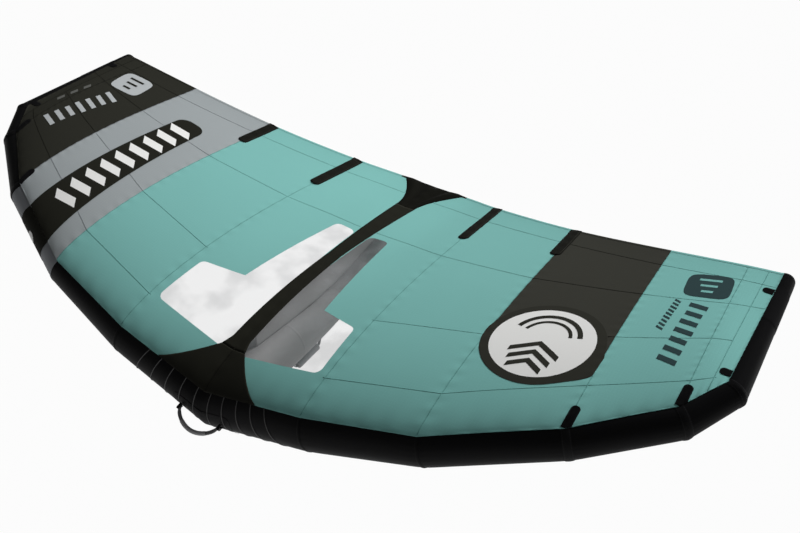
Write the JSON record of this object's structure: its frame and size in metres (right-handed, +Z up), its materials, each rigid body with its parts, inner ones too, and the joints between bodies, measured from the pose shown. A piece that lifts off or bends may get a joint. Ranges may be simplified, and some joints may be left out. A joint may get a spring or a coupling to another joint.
{
  "type": "wingfoil wing",
  "caption": "Inflatable hand-held wing with a swept leading edge tube, a centre strut with padded grips, a cambered panelled canopy and clear windows.",
  "frame": {"origin": "where the rider's hands hold the wing, midway between the two grips under the strut, level with the palms", "axes": "+X to the wing's right seen from behind with the canopy up, +Y from the leading edge to the trailing edge, +Z up out of the canopy's convex side"},
  "size_m": [2.9862, 1.4887, 0.6158],
  "materials": {
    "tube_cloth": "dense woven polyester, satin",
    "strut_cloth": "dense woven polyester, satin",
    "bladder_film": "thin translucent film",
    "teal_cloth": "coated ripstop",
    "grey_cloth": "coated ripstop",
    "black_cloth": "coated ripstop and laid-on dark cloth",
    "window_film": "clear flexible film",
    "batten_rod": "pultruded glass fibre",
    "valve_plastic": "moulded nylon",
    "hose_rubber": "smooth flexible hose",
    "webbing": "round woven webbing",
    "grip_foam": "moulded foam"
  },
  "bodies": {
    "wing": {"le_sleeve_centre": "tube_cloth", "le_sleeve_1_left": "tube_cloth", "le_sleeve_1_right": "tube_cloth", "le_sleeve_2_left": "tube_cloth", "le_sleeve_2_right": "tube_cloth", "le_sleeve_3_left": "tube_cloth", "le_sleeve_3_right": "tube_cloth", "le_sleeve_4_left": "tube_cloth", "le_sleeve_4_right": "tube_cloth", "le_sleeve_5_left": "tube_cloth", "le_sleeve_5_right": "tube_cloth", "strut_sleeve": "strut_cloth", "strut_web": "strut_cloth", "le_bladder": "bladder_film", "strut_bladder": "bladder_film", "canopy_panel_1_right": "teal_cloth", "canopy_panel_2_right": "teal_cloth", "canopy_panel_3_right": "teal_cloth", "canopy_panel_4_right": "teal_cloth", "canopy_panel_5_right": "teal_cloth", "canopy_panel_1_left": "teal_cloth", "canopy_panel_2_left": "teal_cloth", "canopy_panel_3_left": "grey_cloth", "canopy_panel_4_left": "black_cloth", "canopy_panel_5_left": "black_cloth", "strut_band": "black_cloth", "nose_patch": "black_cloth", "tail_fan": "black_cloth", "trailing_edge_hem": "black_cloth", "strut_grip_patch": "black_cloth", "nose_grip_patch": "black_cloth", "inner_batten_pocket_left": "black_cloth", "inner_batten_pocket_right": "black_cloth", "outer_batten_pocket_left": "black_cloth", "outer_batten_pocket_right": "black_cloth", "kink_tab_1_left": "black_cloth", "kink_tab_1_right": "black_cloth", "kink_tab_2_left": "black_cloth", "kink_tab_2_right": "black_cloth", "tip_tab_front_left": "black_cloth", "tip_tab_front_right": "black_cloth", "tip_tab_rear_left": "black_cloth", "tip_tab_rear_right": "black_cloth", "window_left": "window_film", "window_right": "window_film", "inner_batten_left": "batten_rod", "inner_batten_right": "batten_rod", "outer_batten_left": "batten_rod", "outer_batten_right": "batten_rod", "valve_body": "valve_plastic", "hose_clip": "valve_plastic", "air_hose": "hose_rubber"},
    "front_grip": {"front_grip_strap": "webbing", "front_grip_pad": "grip_foam"},
    "rear_grip": {"rear_grip_strap": "webbing", "rear_grip_pad": "grip_foam"},
    "leash_loop": {"leash_loop": "webbing"},
    "nose_handle": {"nose_handle_strap": "webbing", "nose_handle_pad": "grip_foam"},
    "valve_cap": {"valve_cap": "valve_plastic"}
  },
  "joints": [
    {"name": "front_grip_swing", "type": "hinge", "parent": "wing", "child": "front_grip", "pos_m": [0, -0.25416, 0.03356], "axis": [0, 0.9981, 0.0608], "range_deg": [-85, 85]},
    {"name": "rear_grip_swing", "type": "hinge", "parent": "wing", "child": "rear_grip", "pos_m": [0, 0.03871, 0.05883], "axis": [0, 0.9631, 0.2691], "range_deg": [-85, 85]},
    {"name": "leash_loop_swing", "type": "hinge", "parent": "wing", "child": "leash_loop", "pos_m": [0, 0.31079, 0.13877], "axis": [0, 0.9513, 0.3084], "range_deg": [-85, 85]},
    {"name": "nose_handle_swing", "type": "hinge", "parent": "wing", "child": "nose_handle", "pos_m": [0, -0.70787, 0.13246], "axis": [1, 0, 0], "range_deg": [-105, 60]},
    {"name": "valve_cap_lift", "type": "hinge", "parent": "wing", "child": "valve_cap", "pos_m": [0.18951, -0.50143, 0.2275], "axis": [0.9742, 0.0314, 0.2235], "range_deg": [0, 150]}
  ]
}
